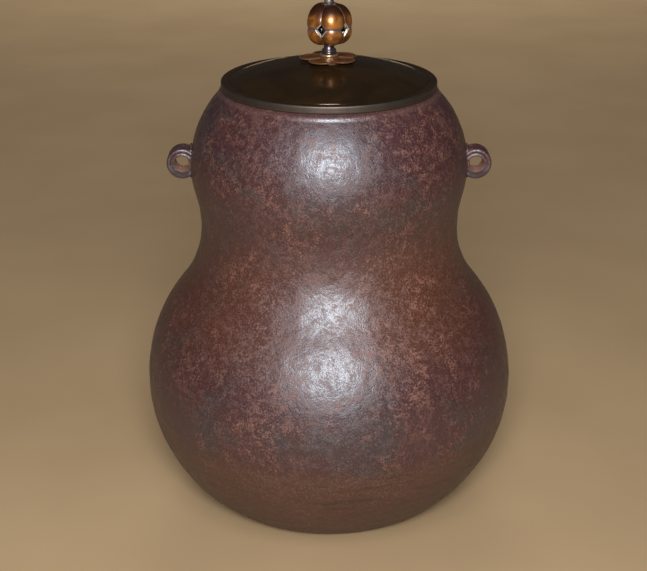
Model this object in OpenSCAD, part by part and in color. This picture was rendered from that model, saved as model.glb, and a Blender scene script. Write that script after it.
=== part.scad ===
// Gourd-shaped chagama tea kettle: a cast-iron shell with two tubular lugs, singing irons
// bonded inside its base, and a lift-off bronze lid with a turning plum-blossom knob.
// Millimetres, +Z up. The origin is the centre of the flat base.

/* [Kettle body] */
// Radius of the belly at its widest
belly_r = 88; // [84:0.5:96]
// Height of the belly's widest circle above the base
belly_z = 60; // [56:0.5:64]
// Profile radius of the belly's rounding
belly_arc = 72.5; // [68:0.5:78]
// Radius of the upper bulb at its widest
bulb_r = 64; // [60:0.5:68]
// Height of the upper bulb's widest circle
bulb_z = 166; // [160:0.5:172]
// Profile radius of the upper bulb's rounding
bulb_arc = 48; // [46:0.5:52]
// Profile radius of the hollow waist
waist_arc = 52; // [46:0.5:60]
// Wall thickness of the casting
wall = 4; // [3:0.25:5]
// Rounding between the belly and the flat base
base_fillet = 8; // [6:0.5:12]
// Height of the mouth's flat lip above the upper bulb's widest circle
lip_rise = 36; // [34:0.5:38]
// Width of the flat lip that the lid rests on
lip_w = 3; // [2.5:0.25:4]

/* [Lugs] */
// Radius of the bore that a ring handle passes through
lug_bore_r = 3.6; // [3:0.1:5]
// Thickness of a lug's tubular wall
lug_wall = 3.6; // [2.1:0.1:4]
// Length of a lug's tube, front to back
lug_w = 10; // [8:0.5:14]
// Rounding of a lug's edges
lug_edge = 1; // [0.5:0.1:1.1]
// Gap between a lug's bore and the kettle wall
lug_stand = 0.3; // [0.2:0.1:1]
// Height of the lugs above the upper bulb's widest circle
lug_rise = 0.5; // [-10:0.5:10]
// Radius of the root tenon that is cast into the wall
tenon_r = 3; // [2:0.25:4]
// Depth of the root tenon in the wall
tenon_depth = 2.4; // [1.5:0.1:2.8]

/* [Singing irons] */
// Length of a strip
iron_l = 24; // [16:1:28]
// Width of a strip
iron_w = 8; // [6:0.5:10]
// Thickness of a strip
iron_t = 1.6; // [1:0.1:2.5]
// Distance of the strips from the kettle's axis
iron_ring_r = 30; // [26:0.5:34]
// Thickness of the lacquer bed under a strip
bed_t = 0.5; // [0.3:0.1:1]
// Margin of the lacquer bed round a strip
bed_margin = 1.2; // [0.5:0.1:2]

/* [Lid] */
// Overhang of the lid past the lip
lid_overhang = 1.4; // [1:0.1:4]
// Thickness of the lid's rim
lid_rim_t = 3.5; // [3:0.1:5]
// Width of the flat rim round the dome
lid_rim_w = 4; // [3:0.25:5]
// Rounding of the rim's outer edges
lid_edge = 0.7; // [0.3:0.1:1]
// Height of the dome above the rim
dome_h = 8.9; // [7:0.1:12]
// Thickness of the domed plate
plate_t = 2; // [1.5:0.1:2.5]
// Radius of the groove at the foot of the dome
groove_r = 0.5; // [0.2:0.1:0.8]
// Depth of the spigot ring below the lid
spigot_h = 8; // [5:0.5:12]
// Thickness of the spigot ring
spigot_t = 1.6; // [1:0.1:2.5]
// Clearance between the spigot ring and the mouth
spigot_gap = 0.6; // [0.3:0.1:1.2]

/* [Knob seat] */
// Radius of a blossom petal
petal_r = 6.1; // [5:0.1:7]
// Distance of a petal's centre from the axis
petal_ring_r = 7.5; // [6.5:0.1:8]
// Radius of the foot that the blossom stands on
foot_r = 9; // [8:0.1:9.6]
// Height of the foot, which lifts the petals off the dome
foot_h = 0.8; // [0.3:0.1:1]
// Thickness of the blossom's flat margin
petal_t = 0.6; // [0.5:0.1:1]
// Height of a petal's crown above the margin
petal_crown = 0.6; // [0.4:0.1:1.2]
// Margin between a petal's crown and its edge, shared by two petals at their border
petal_margin = 0.5; // [0.3:0.1:1]
// Radius of the boss that carries the knob
boss_r = 4.6; // [4.4:0.1:5.5]
// Height of the boss above the petals' crowns
boss_proud = 0.1; // [0.1:0.1:0.6]
// Turn of the blossom about the axis, where 0 puts a petal on +X
seat_turn = 246; // [0:1:360]

/* [Knob] */
// Height of the neck
neck_h = 6.75; // [5.5:0.05:8]
// Radius of the neck's waist
neck_r = 2.6; // [2.4:0.1:3]
// Radius of the neck's bead
bead_r = 0.7; // [0.4:0.1:1]
// Height of the bead above the neck's foot
bead_up = 2.5; // [2.2:0.1:4]
// Radius of the neck's foot flange
flange_r = 4.2; // [3.6:0.1:4.4]
// Thickness of the neck's foot flange
flange_t = 1; // [0.7:0.1:1.5]
// Radius of an upper petal's ball
upper_ball = 6.7; // [6.5:0.05:6.9]
// Height of an upper ball's top above its centre, drawn up to a soft point
upper_tall = 8.1; // [7.7:0.05:8.4]
// Distance of an upper ball's centre from the axis
upper_out = 3.7; // [3.5:0.05:3.9]
// Height of an upper ball's centre above the waist line
upper_up = 2.1; // [1.9:0.05:2.3]
// Radius of a lower petal's ball
lower_ball = 6; // [5.8:0.05:6.2]
// Distance of a lower ball's centre from the axis
lower_out = 4.3; // [4.1:0.05:4.5]
// Depth of a lower ball's centre below the waist line
lower_down = 1.9; // [1.7:0.05:2.1]
// Radius of the knob's cavity at the waist line
cavity_r = 7.8; // [7.2:0.1:8]
// Half the width of the diamond opening where four petals meet
hole_w = 1.9; // [1.2:0.1:2.4]
// Half the height of the diamond opening
hole_h = 2.1; // [1.4:0.1:2.6]
// Half the width of the diamond's blunt corners
hole_blunt = 0.25; // [0.1:0.05:0.5]
// Thickness of the knob's floor over the neck
floor_t = 2.4; // [1.8:0.1:2.8]
// Thickness of the knob's roof under the finial
roof_t = 2.7; // [2:0.1:3.2]
// Depth of the knob's underside below the waist line
floor_drop = 6.5; // [6.2:0.05:6.7]
// Clearance round the neck where it enters the knob
socket_gap = 0.5; // [0.2:0.1:0.8]
// Height of the finial's seat above the waist line
crown_up = 9.7; // [9.5:0.05:9.9]
// Turn of the knob about the axis, where 0 puts a petal on +X
knob_turn = 284; // [0:1:360]

/* [Stem and finial] */
// Radius of the stem rod
rod_r = 1.5; // [1.2:0.05:1.8]
// Running clearance of the knob on the rod
run_fit = 0.05; // [0.02:0.01:0.1]
// Assembly clearance of the fixed pieces on the rod
rivet_fit = 0.03; // [0.01:0.01:0.1]
// End play of the knob under the finial's bud
end_play = 0.2; // [0.1:0.05:0.4]
// Wall thickness of the spacer sleeve inside the knob
sleeve_t = 1; // [0.6:0.1:1.5]
// Radius of a lobe of the finial's calyx
calyx_lobe_r = 1.5; // [1.2:0.1:1.7]
// Distance of a calyx lobe's centre from the axis
calyx_ring_r = 2.2; // [1.9:0.1:2.4]
// Thickness of the calyx
calyx_t = 1; // [0.8:0.1:1.6]
// Clearance round the calyx in the knob's top
calyx_gap = 0.2; // [0.1:0.05:0.4]
// Radius of the finial's bud
bud_r = 2.2; // [2:0.1:2.6]
// Height of the bud's centre above its flat foot
bud_up = 0.5; // [0.4:0.1:1]
// Height of the bud's point above the bud's centre, where it would be sharp
tip_up = 3.6; // [3:0.1:4.5]
// Radius at the blunt end of the bud's point
tip_r = 0.3; // [0.2:0.05:0.5]
// Depth of the rod's end in the bud
rod_grip = 1.6; // [1:0.1:1.7]
// Radius of the washer under the lid
washer_r = 5; // [4:0.25:7]
// Thickness of the washer under the lid
washer_t = 1; // [0.6:0.1:1.6]
// Radius of the rod's peened head
head_r = 2.8; // [2.2:0.1:3.4]
// Height of the rod's peened head
head_h = 1.4; // [0.8:0.1:2]

/* [Hidden] */
$fn = 96;
petals = 5;
petal_step = 360 / petals;
// Number of singing irons, as NODES lists them
iron_count = 5;
// Reach of a cut past the face that it opens
eps = 0.5;
// Lap by which neighbouring arcs of the gourd's profile cross where they meet
blend_lap = 0.01;

// Colours
iron_colour = [0.30, 0.19, 0.18];
bright_iron_colour = [0.36, 0.34, 0.33];
lacquer_colour = [0.10, 0.07, 0.06];
bronze_colour = [0.20, 0.16, 0.10];
copper_colour = [0.52, 0.31, 0.12];
silver_colour = [0.66, 0.62, 0.57];

// Gourd profile: centres in [radius, height], and the angles where its arcs meet
lip_z = bulb_z + lip_rise;
belly_ctr = [belly_r - belly_arc, belly_z];
bulb_ctr = [bulb_r - bulb_arc, bulb_z];
bulb_way = bulb_ctr - belly_ctr;
bulb_far = norm(bulb_way);
along = bulb_way / bulb_far;
outward = [along.y, -along.x];
waist_from_belly = belly_arc + waist_arc;
waist_from_bulb = bulb_arc + waist_arc;
waist_along = (waist_from_belly ^ 2 - waist_from_bulb ^ 2 + bulb_far ^ 2) / (2 * bulb_far);
waist_out = sqrt(waist_from_belly ^ 2 - waist_along ^ 2);
waist_ctr = belly_ctr + waist_along * along + waist_out * outward;
belly_top_ang = atan2(waist_ctr.y - belly_ctr.y, waist_ctr.x - belly_ctr.x);
bulb_low_ang = atan2(waist_ctr.y - bulb_ctr.y, waist_ctr.x - bulb_ctr.x);
fillet_reach = sqrt((belly_arc - base_fillet) ^ 2 - (belly_z - base_fillet) ^ 2);
fillet_ctr = [belly_ctr.x + fillet_reach, base_fillet];
fillet_ang = atan2(fillet_ctr.y - belly_ctr.y, fillet_reach);
base_r = fillet_ctr.x;
lip_r = bulb_ctr.x + sqrt(bulb_arc ^ 2 - lip_rise ^ 2);
mouth_r = lip_r - lip_w;

// Lugs
lug_r = lug_bore_r + lug_wall;
lug_z = bulb_z + lug_rise;
lug_wall_x = bulb_ctr.x + sqrt(bulb_arc ^ 2 - lug_rise ^ 2);
lug_x = lug_wall_x + lug_stand + lug_bore_r;
root_h = 2 * lug_r - 2 * lug_edge;
root_w = lug_w - 2 * lug_edge;

// Lid
lid_r = lip_r + lid_overhang;
rim_top = lip_z + lid_rim_t;
dome_foot_r = lid_r - lid_rim_w;
dome_sphere = (dome_foot_r ^ 2 + dome_h ^ 2) / (2 * dome_h);
dome_ctr_z = rim_top + dome_h - dome_sphere;
spigot_r = mouth_r - spigot_gap;
spigot_in_r = spigot_r - spigot_t;
land_z = dome_ctr_z + sqrt(dome_sphere ^ 2 - foot_r ^ 2);
under_sphere = dome_sphere - plate_t;
washer_z = dome_ctr_z + sqrt(under_sphere ^ 2 - washer_r ^ 2);

// Knob, from the lid upwards
boss_h = foot_h + petal_t + petal_crown + boss_proud;
neck_z = land_z + boss_h;
neck_top_z = neck_z + neck_h;
waist_z = neck_top_z + floor_drop;
socket_r = neck_r + socket_gap;
spot_r = calyx_ring_r + calyx_lobe_r + calyx_gap;
cavity_floor = -floor_drop + floor_t;
cavity_roof = crown_up - roof_t;
calyx_z = waist_z + crown_up;
bud_z = calyx_z + calyx_t + end_play;
rod_end_z = bud_z + rod_grip;
rod_foot_z = washer_z - washer_t;
rod_bore_r = rod_r + run_fit;
fixed_bore_r = rod_r + rivet_fit;

function polar(r, a) = r * [cos(a), sin(a)];

// A slice of a disc round ctr, between two angles
module pie(ctr, r, from, to) {
    far = 2 * r;
    intersection() {
        translate(ctr) circle(r);
        polygon([ctr, ctr + polar(far, from), ctr + polar(far, (from + to) / 2), ctr + polar(far, to)]);
    }
}

// Half profile of the gourd, taken in by inset and cut off at the height top
module gourd_profile(inset, top) {
    bulb_in = bulb_arc - inset;
    belly_in = belly_arc - inset;
    difference() {
        intersection() {
            union() {
                pie(belly_ctr, belly_in, fillet_ang, 90);
                translate(bulb_ctr) circle(bulb_in);
                intersection() {
                    translate(fillet_ctr) circle(base_fillet - inset + blend_lap);
                    translate(belly_ctr) circle(belly_in);
                }
                polygon([
                    [0, inset], [base_r, inset], [base_r, belly_z],
                    belly_ctr + polar(belly_in, belly_top_ang), bulb_ctr + polar(bulb_in, bulb_low_ang),
                    bulb_ctr, [0, bulb_z]
                ]);
            }
            translate([0, inset]) square([belly_r, top - inset]);
        }
        translate(waist_ctr) circle(waist_arc + inset + blend_lap);
    }
}

// A lug's root tenon, or with a clearance the pocket it fills
module lug_tenon(fit) {
    translate([lug_wall_x - tenon_depth - fit, 0, lug_z])
        rotate([0, 90, 0]) cylinder(r = tenon_r + fit, h = tenon_depth + fit + lug_stand);
}

module kettle_body() {
    color(iron_colour) difference() {
        rotate_extrude() difference() {
            gourd_profile(0, lip_z);
            gourd_profile(wall, lip_z + eps);
            translate([0, lip_z - wall]) square([mouth_r, wall + eps]);
        }
        for (side = [0, 1]) mirror([side, 0, 0]) lug_tenon(rivet_fit);
    }
}

// Cross-section of a lug's tube wall, with its edges rounded
module lug_section() {
    for (x = [lug_bore_r + lug_edge, lug_r - lug_edge], y = [-1, 1])
        translate([x, y * (lug_w / 2 - lug_edge)]) circle(lug_edge);
    translate([lug_bore_r, lug_edge - lug_w / 2]) square([lug_wall, lug_w - 2 * lug_edge]);
    translate([lug_bore_r + lug_edge, -lug_w / 2]) square([lug_wall - 2 * lug_edge, lug_w]);
}

module lug() {
    color(iron_colour) {
        difference() {
            translate([lug_x, 0, lug_z]) rotate([90, 0, 0]) difference() {
                union() {
                    rotate_extrude() lug_section();
                    translate([-lug_x + lug_wall_x - wall / 2, -root_h / 2, -root_w / 2])
                        cube([lug_x - lug_wall_x + wall / 2, root_h, root_w]);
                }
                cylinder(r = lug_bore_r, h = lug_w, center = true);
            }
            rotate_extrude() gourd_profile(0, lip_z);
        }
        intersection() {
            lug_tenon(0);
            rotate_extrude() gourd_profile(0, lip_z);
        }
    }
}

// Places a strip or its bed inside the base, square to the radius
module at_iron(i) {
    rotate((i - 1) * 360 / iron_count + 90) translate([iron_ring_r, 0, wall]) children();
}

module singing_iron(i) {
    color(bright_iron_colour) at_iron(i)
        translate([-iron_w / 2, -iron_l / 2, bed_t]) cube([iron_w, iron_l, iron_t]);
}

module lacquer_bed(i) {
    bed_w = iron_w + 2 * bed_margin;
    bed_l = iron_l + 2 * bed_margin;
    color(lacquer_colour) at_iron(i)
        translate([-bed_w / 2, -bed_l / 2, 0]) cube([bed_w, bed_l, bed_t]);
}

module lid_rim_profile() {
    for (z = [lip_z + lid_edge, rim_top - lid_edge]) translate([lid_r - lid_edge, z]) circle(lid_edge);
    translate([0, lip_z]) square([lid_r - lid_edge, lid_rim_t]);
    translate([0, lip_z + lid_edge]) square([lid_r, lid_rim_t - 2 * lid_edge]);
}

module lid_plate() {
    color(bronze_colour) rotate_extrude() difference() {
        union() {
            lid_rim_profile();
            intersection() {
                translate([0, dome_ctr_z]) circle(dome_sphere);
                translate([0, lip_z]) square([dome_foot_r, land_z - lip_z]);
            }
        }
        intersection() {
            translate([0, dome_ctr_z]) circle(under_sphere);
            translate([0, lip_z - eps]) square([spigot_in_r, dome_h + lid_rim_t]);
        }
        translate([dome_foot_r, rim_top]) circle(groove_r);
        translate([0, lip_z]) square([fixed_bore_r, dome_h + 2 * lid_rim_t]);
    }
}

module lid_spigot_ring() {
    color(bronze_colour) rotate_extrude()
        translate([spigot_in_r, lip_z - spigot_h]) square([spigot_t, spigot_h]);
}

// Five copies round the axis
module round_petals(turn) {
    for (i = [0 : petals - 1]) rotate(turn + i * petal_step) children();
}

// One petal's share of the blossom, drawn in from its borders by margin
module petal_share(margin) {
    half = petal_step / 2;
    tip = [margin / sin(half), 0];
    far = 4 * petal_ring_r;
    polygon([tip, tip + polar(far, half), tip + polar(far, -half)]);
}

module knob_seat() {
    crown_r = petal_r - petal_margin;
    crown_sphere = (crown_r ^ 2 + petal_crown ^ 2) / (2 * petal_crown);
    color(copper_colour) translate([0, 0, land_z]) difference() {
        union() {
            cylinder(r = boss_r, h = boss_h);
            cylinder(r = foot_r, h = foot_h + petal_t);
            translate([0, 0, foot_h]) round_petals(seat_turn) {
                translate([petal_ring_r, 0, 0]) cylinder(r = petal_r, h = petal_t);
                intersection() {
                    translate([petal_ring_r, 0, petal_t + petal_crown - crown_sphere]) sphere(crown_sphere);
                    linear_extrude(petal_t + 2 * petal_crown) intersection() {
                        translate([petal_ring_r, 0]) circle(crown_r);
                        petal_share(petal_margin / 2);
                    }
                }
            }
        }
        translate([0, 0, -eps]) cylinder(r = fixed_bore_r, h = boss_h + 2 * eps);
    }
}

module stem_rod() {
    head_sphere = (head_r ^ 2 + head_h ^ 2) / (2 * head_h);
    color(silver_colour) {
        translate([0, 0, rod_foot_z]) cylinder(r = rod_r, h = rod_end_z - rod_foot_z);
        intersection() {
            translate([0, 0, rod_foot_z - head_h + head_sphere]) sphere(head_sphere);
            translate([0, 0, rod_foot_z - head_h]) cylinder(r = head_r, h = head_h);
        }
    }
}

module under_washer() {
    color(copper_colour) translate([0, 0, rod_foot_z]) difference() {
        cylinder(r = washer_r, h = washer_t);
        translate([0, 0, -eps]) cylinder(r = fixed_bore_r, h = washer_t + 2 * eps);
    }
}

module finial_calyx() {
    color(silver_colour) translate([0, 0, calyx_z]) difference() {
        union() {
            cylinder(r = calyx_ring_r, h = calyx_t);
            round_petals(knob_turn) translate([calyx_ring_r, 0, 0]) cylinder(r = calyx_lobe_r, h = calyx_t);
        }
        translate([0, 0, -eps]) cylinder(r = rod_bore_r, h = calyx_t + 2 * eps);
    }
}

module finial_bud() {
    point_z = bud_r ^ 2 / tip_up;
    point_r = sqrt(bud_r ^ 2 - point_z ^ 2);
    point_h = (tip_up - point_z) * (1 - tip_r / point_r);
    color(silver_colour) difference() {
        union() {
            intersection() {
                translate([0, 0, bud_z + bud_up]) sphere(bud_r);
                translate([0, 0, bud_z]) cylinder(r = bud_r, h = bud_up + bud_r);
            }
            translate([0, 0, bud_z + bud_up + point_z]) cylinder(r1 = point_r, r2 = tip_r, h = point_h);
        }
        translate([0, 0, bud_z - eps]) cylinder(r = fixed_bore_r, h = rod_grip + eps);
    }
}

module knob_neck() {
    color(silver_colour) translate([0, 0, neck_z]) rotate_extrude() difference() {
        union() {
            square([neck_r, neck_h]);
            square([flange_r - flange_t / 2, flange_t]);
            translate([flange_r - flange_t / 2, flange_t / 2]) circle(flange_t / 2);
            translate([neck_r, bead_up]) circle(bead_r);
        }
        square([2 * rod_bore_r, 3 * neck_h], center = true);
    }
}

// A ball whose top and bottom are drawn out to soft points at the height tall
module drawn_ball(ball, tall) {
    lean = (tall ^ 2 - ball ^ 2) / (2 * ball);
    rotate_extrude() intersection() {
        translate([-lean, 0]) circle(ball + lean);
        translate([0, -tall]) square([ball, 2 * tall]);
    }
}

// Diamond openings on the waist line, one at each border between petals
module waist_holes() {
    corner = hole_blunt;
    round_petals(knob_turn + petal_step / 2) translate([cavity_r / 2, 0, 0]) rotate([90, 0, 90])
        linear_extrude(2 * upper_ball) polygon([
            [hole_w, -corner], [hole_w, corner], [corner, hole_h], [-corner, hole_h],
            [-hole_w, corner], [-hole_w, -corner], [-corner, -hole_h], [corner, -hole_h]
        ]);
}

// What is cut out of the knob: its cavity, the neck's socket, the finial's seat, the rod's bore and the openings
module knob_cuts() {
    rotate_extrude() intersection() {
        circle(cavity_r);
        translate([0, cavity_floor]) square([cavity_r, cavity_roof - cavity_floor]);
    }
    translate([0, 0, -2 * floor_drop]) cylinder(r = socket_r, h = floor_drop);
    translate([0, 0, crown_up]) cylinder(r = spot_r, h = crown_up);
    cylinder(r = rod_bore_r, h = 4 * crown_up, center = true);
    waist_holes();
}

module knob_upper_shell() {
    half = 2 * upper_ball;
    color(copper_colour) translate([0, 0, waist_z]) difference() {
        intersection() {
            round_petals(knob_turn) translate([upper_out, 0, upper_up]) drawn_ball(upper_ball, upper_tall);
            translate([-half, -half, 0]) cube(2 * half);
        }
        knob_cuts();
    }
}

module knob_lower_shell() {
    half = 2 * lower_ball;
    color(copper_colour) translate([0, 0, waist_z]) difference() {
        intersection() {
            round_petals(knob_turn) translate([lower_out, 0, -lower_down]) sphere(lower_ball);
            translate([-half, -half, -2 * half]) cube(2 * half);
        }
        knob_cuts();
    }
}

module knob_spacer_sleeve() {
    color(silver_colour) translate([0, 0, waist_z + cavity_floor]) difference() {
        cylinder(r = rod_bore_r + sleeve_t, h = cavity_roof - cavity_floor);
        translate([0, 0, -eps]) cylinder(r = rod_bore_r, h = cavity_roof - cavity_floor + 2 * eps);
    }
}

kettle_body();
lug();  // lug_right
mirror([1, 0, 0]) lug();  // lug_left
for (i = [1 : iron_count]) {
    singing_iron(i);
    lacquer_bed(i);
}
lid_plate();
lid_spigot_ring();
knob_seat();
stem_rod();
under_washer();
finial_calyx();
finial_bud();
knob_neck();
knob_lower_shell();
knob_spacer_sleeve();
knob_upper_shell();
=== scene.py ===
from math import asin, atan2, ceil, cos, exp, pi, radians, sin, sqrt, tau

import bmesh
import bpy
from mathutils import Matrix, Vector, noise


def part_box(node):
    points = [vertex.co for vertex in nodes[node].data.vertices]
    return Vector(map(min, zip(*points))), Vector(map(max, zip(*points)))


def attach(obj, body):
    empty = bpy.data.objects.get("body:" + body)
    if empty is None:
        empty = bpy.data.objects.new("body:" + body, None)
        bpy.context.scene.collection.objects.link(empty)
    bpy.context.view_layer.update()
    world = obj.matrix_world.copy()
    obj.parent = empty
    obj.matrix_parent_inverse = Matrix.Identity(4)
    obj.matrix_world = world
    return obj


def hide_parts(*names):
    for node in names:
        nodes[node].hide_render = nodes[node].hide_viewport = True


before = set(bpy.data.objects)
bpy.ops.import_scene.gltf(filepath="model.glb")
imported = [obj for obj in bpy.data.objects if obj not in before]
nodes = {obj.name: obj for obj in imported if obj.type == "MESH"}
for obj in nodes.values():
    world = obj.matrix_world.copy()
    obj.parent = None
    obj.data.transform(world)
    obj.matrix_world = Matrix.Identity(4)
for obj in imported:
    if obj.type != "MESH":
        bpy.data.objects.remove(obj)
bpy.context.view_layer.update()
scene = bpy.context.scene
scene.view_settings.view_transform = "Standard"
weld = 2e-6                                   # verts closer than this are one
print("frame loaded:", len(nodes), "nodes")


# Camera, at the photo's viewing angle

photoCamera = {
    "frameWidth": 647,                        # pixels across the photo
    "focalLength": 1424,                      # in the same pixels
    "axisColumn": 329,                        # column that the kettle's axis falls on
    "place": (0, -0.6347, 0.3627),
    "tilt": 22.18,                            # degrees down
    "sensor": 36,                             # millimetres
}


def makeCamera(look):
    lens = bpy.data.cameras.new("photoCamera")
    lens.sensor_width = look["sensor"]
    lens.lens = look["focalLength"] / look["frameWidth"] * look["sensor"]
    lens.shift_x = 0.5 - look["axisColumn"] / look["frameWidth"]  # the photo is a little off centre
    eye = bpy.data.objects.new("photoCamera", lens)
    eye.location = look["place"]
    eye.rotation_euler = (radians(90 - look["tilt"]), 0, 0)
    scene.collection.objects.link(eye)
    scene.camera = eye


makeCamera(photoCamera)
print("camera placed")


# Shader maths: a wrapped socket that Python's operators work on

class Wire:
    def __init__(self, tree, socket):
        self.tree = tree
        self.socket = socket

    def node(self, kind, settings=None, sockets=None, out=0):
        made = self.tree.nodes.new("ShaderNode" + kind)
        for name, value in (settings or {}).items():
            setattr(made, name, value)
        for name, value in (sockets or {}).items():
            if isinstance(value, Wire):
                self.tree.links.new(value.socket, made.inputs[name])
            else:
                made.inputs[name].default_value = value
        return Wire(self.tree, made.outputs[out]) if made.outputs else None

    def maths(self, operation, first, second):
        return self.node("Math", {"operation": operation}, {0: first, 1: second})

    def __add__(self, other):
        return self.maths("ADD", self, other)

    def __radd__(self, other):
        return self.maths("ADD", other, self)

    def __sub__(self, other):
        return self.maths("SUBTRACT", self, other)

    def __rsub__(self, other):
        return self.maths("SUBTRACT", other, self)

    def __mul__(self, other):
        return self.maths("MULTIPLY", self, other)

    def __rmul__(self, other):
        return self.maths("MULTIPLY", other, self)

    def cloud(self, scale, detail, rough, swirl=0.0):
        return self.node("TexNoise", {}, {
            "Vector": self, "Scale": scale, "Detail": detail, "Roughness": rough, "Distortion": swirl})

    def step(self, low, high):                # smooth 0 to 1 as the value goes from low to high
        return self.node("MapRange", {"interpolation_type": "SMOOTHSTEP"}, {
            "Value": self, "From Min": low, "From Max": high})

    def tint(self, under, over):              # over laid on under where this mask is 1
        return self.node("Mix", {"data_type": "RGBA"}, {0: self, 6: under, 7: over}, out=2)

    def stretch(self, size, shift=(0, 0, 0)):
        return self.node("Mapping", {}, {"Vector": self, "Scale": size, "Location": shift})

    def bump(self, distance, strength):
        return self.node("Bump", {}, {"Height": self, "Distance": distance, "Strength": strength})

    def split(self, axis):
        return self.node("SeparateXYZ", {}, {"Vector": self}, out="XYZ".index(axis))

    def wave(self):
        return self.node("Math", {"operation": "COSINE"}, {0: self})

    def size(self):
        return self.node("Math", {"operation": "ABSOLUTE"}, {0: self})

    def reach(self, across):                  # length of a step of self one way and across the other
        return self.maths("POWER", self * self + across * across, 0.5)

    def radius(self):                         # distance from the kettle's axis
        flat = self.stretch((1, 1, 0))
        return flat.node("VectorMath", {"operation": "LENGTH"}, {0: flat}, out=1)


def newPaint(name):
    paint = bpy.data.materials.new(name)
    paint.use_nodes = True
    paint.node_tree.nodes.clear()
    place = Wire(paint.node_tree, None).node("TexCoord", out=3)
    return paint, place


def finishPaint(place, sockets):
    shader = place.node("BsdfPrincipled", {}, sockets)
    place.node("OutputMaterial", {}, {"Surface": shader})


# Rusted cast iron: smooth plum patina under matte red rust, orange flecks, sand grain, a browner foot

# Painted shade under the lugs, painted light in their bores and a painted highlight on the bead under the
# lid
rustedIron = {
    "patina": (0.048, 0.0172, 0.0178, 1),
    "slate": (0.032, 0.0225, 0.0240, 1),
    "rust": (0.070, 0.0235, 0.0175, 1),
    "umber": (0.088, 0.030, 0.013, 1),        # browner iron round the waist
    "bloom": (0.185, 0.068, 0.041, 1),
    "dust": (0.190, 0.108, 0.100, 1),         # pale tips of the grain
    "pit": (0.013, 0.007, 0.006, 1),
    "hearth": (0.074, 0.0265, 0.0095, 1),     # foot below the mould seam
    "boreWearAndLight": (0.300, 0.145, 0.095, 1),       # painted light in the bores, over iron rubbed by ring handles
    "lugUnderShade": (0.026, 0.008, 0.004, 1),         # painted shade on the under side of the lugs
    "glint": (0.80, 0.90, 1.00, 1),           # cool tint of the gloss
    "gloss": 1.76,                            # index of refraction
    "bore": (0.0679, 0.1665, 0.0036),         # distance from the axis, height and radius of a lug's bore
    "boreFade": (-0.0001, 0.0003),            # where the rubbed, painted-light bore iron ends, from the bore's radius
    "lugStart": (0.0642, 0.150),              # lugs lie further out and higher than this
    "lugFade": (0.001, 0.004),
    "shadeFade": (-0.0045, -0.0010),          # where the painted shade ends, from the bore's height
    "waist": (0.078, 0.104, 0.122, 0.150),    # heights where the browner iron starts, is full and ends
    "blaze": (0.034, 0.126),                  # X and Z of the reddest patch, right of the waist
    "blazeFade": (0.008, 0.044),
    "lip": 0.2006,                            # height of the low bead under the lid, painted paler as a highlight
    "lipFade": 0.0016,
    "seam": 0.0526,                           # height of the mould seam
    "seamFade": (-0.010, 0.001),
    "wander": (0.006, 0.0006, 0.0004),        # how unsteady the bands, the bead's painted highlight and the bores' paler iron end
    "shift": (0, 0, -0.0081),                 # moves the rust patches up the casting
    "grain": 0.00015,                         # depth of the sand grain
    "swell": 0.0008,                          # depth of the broad lumps
}


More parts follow.
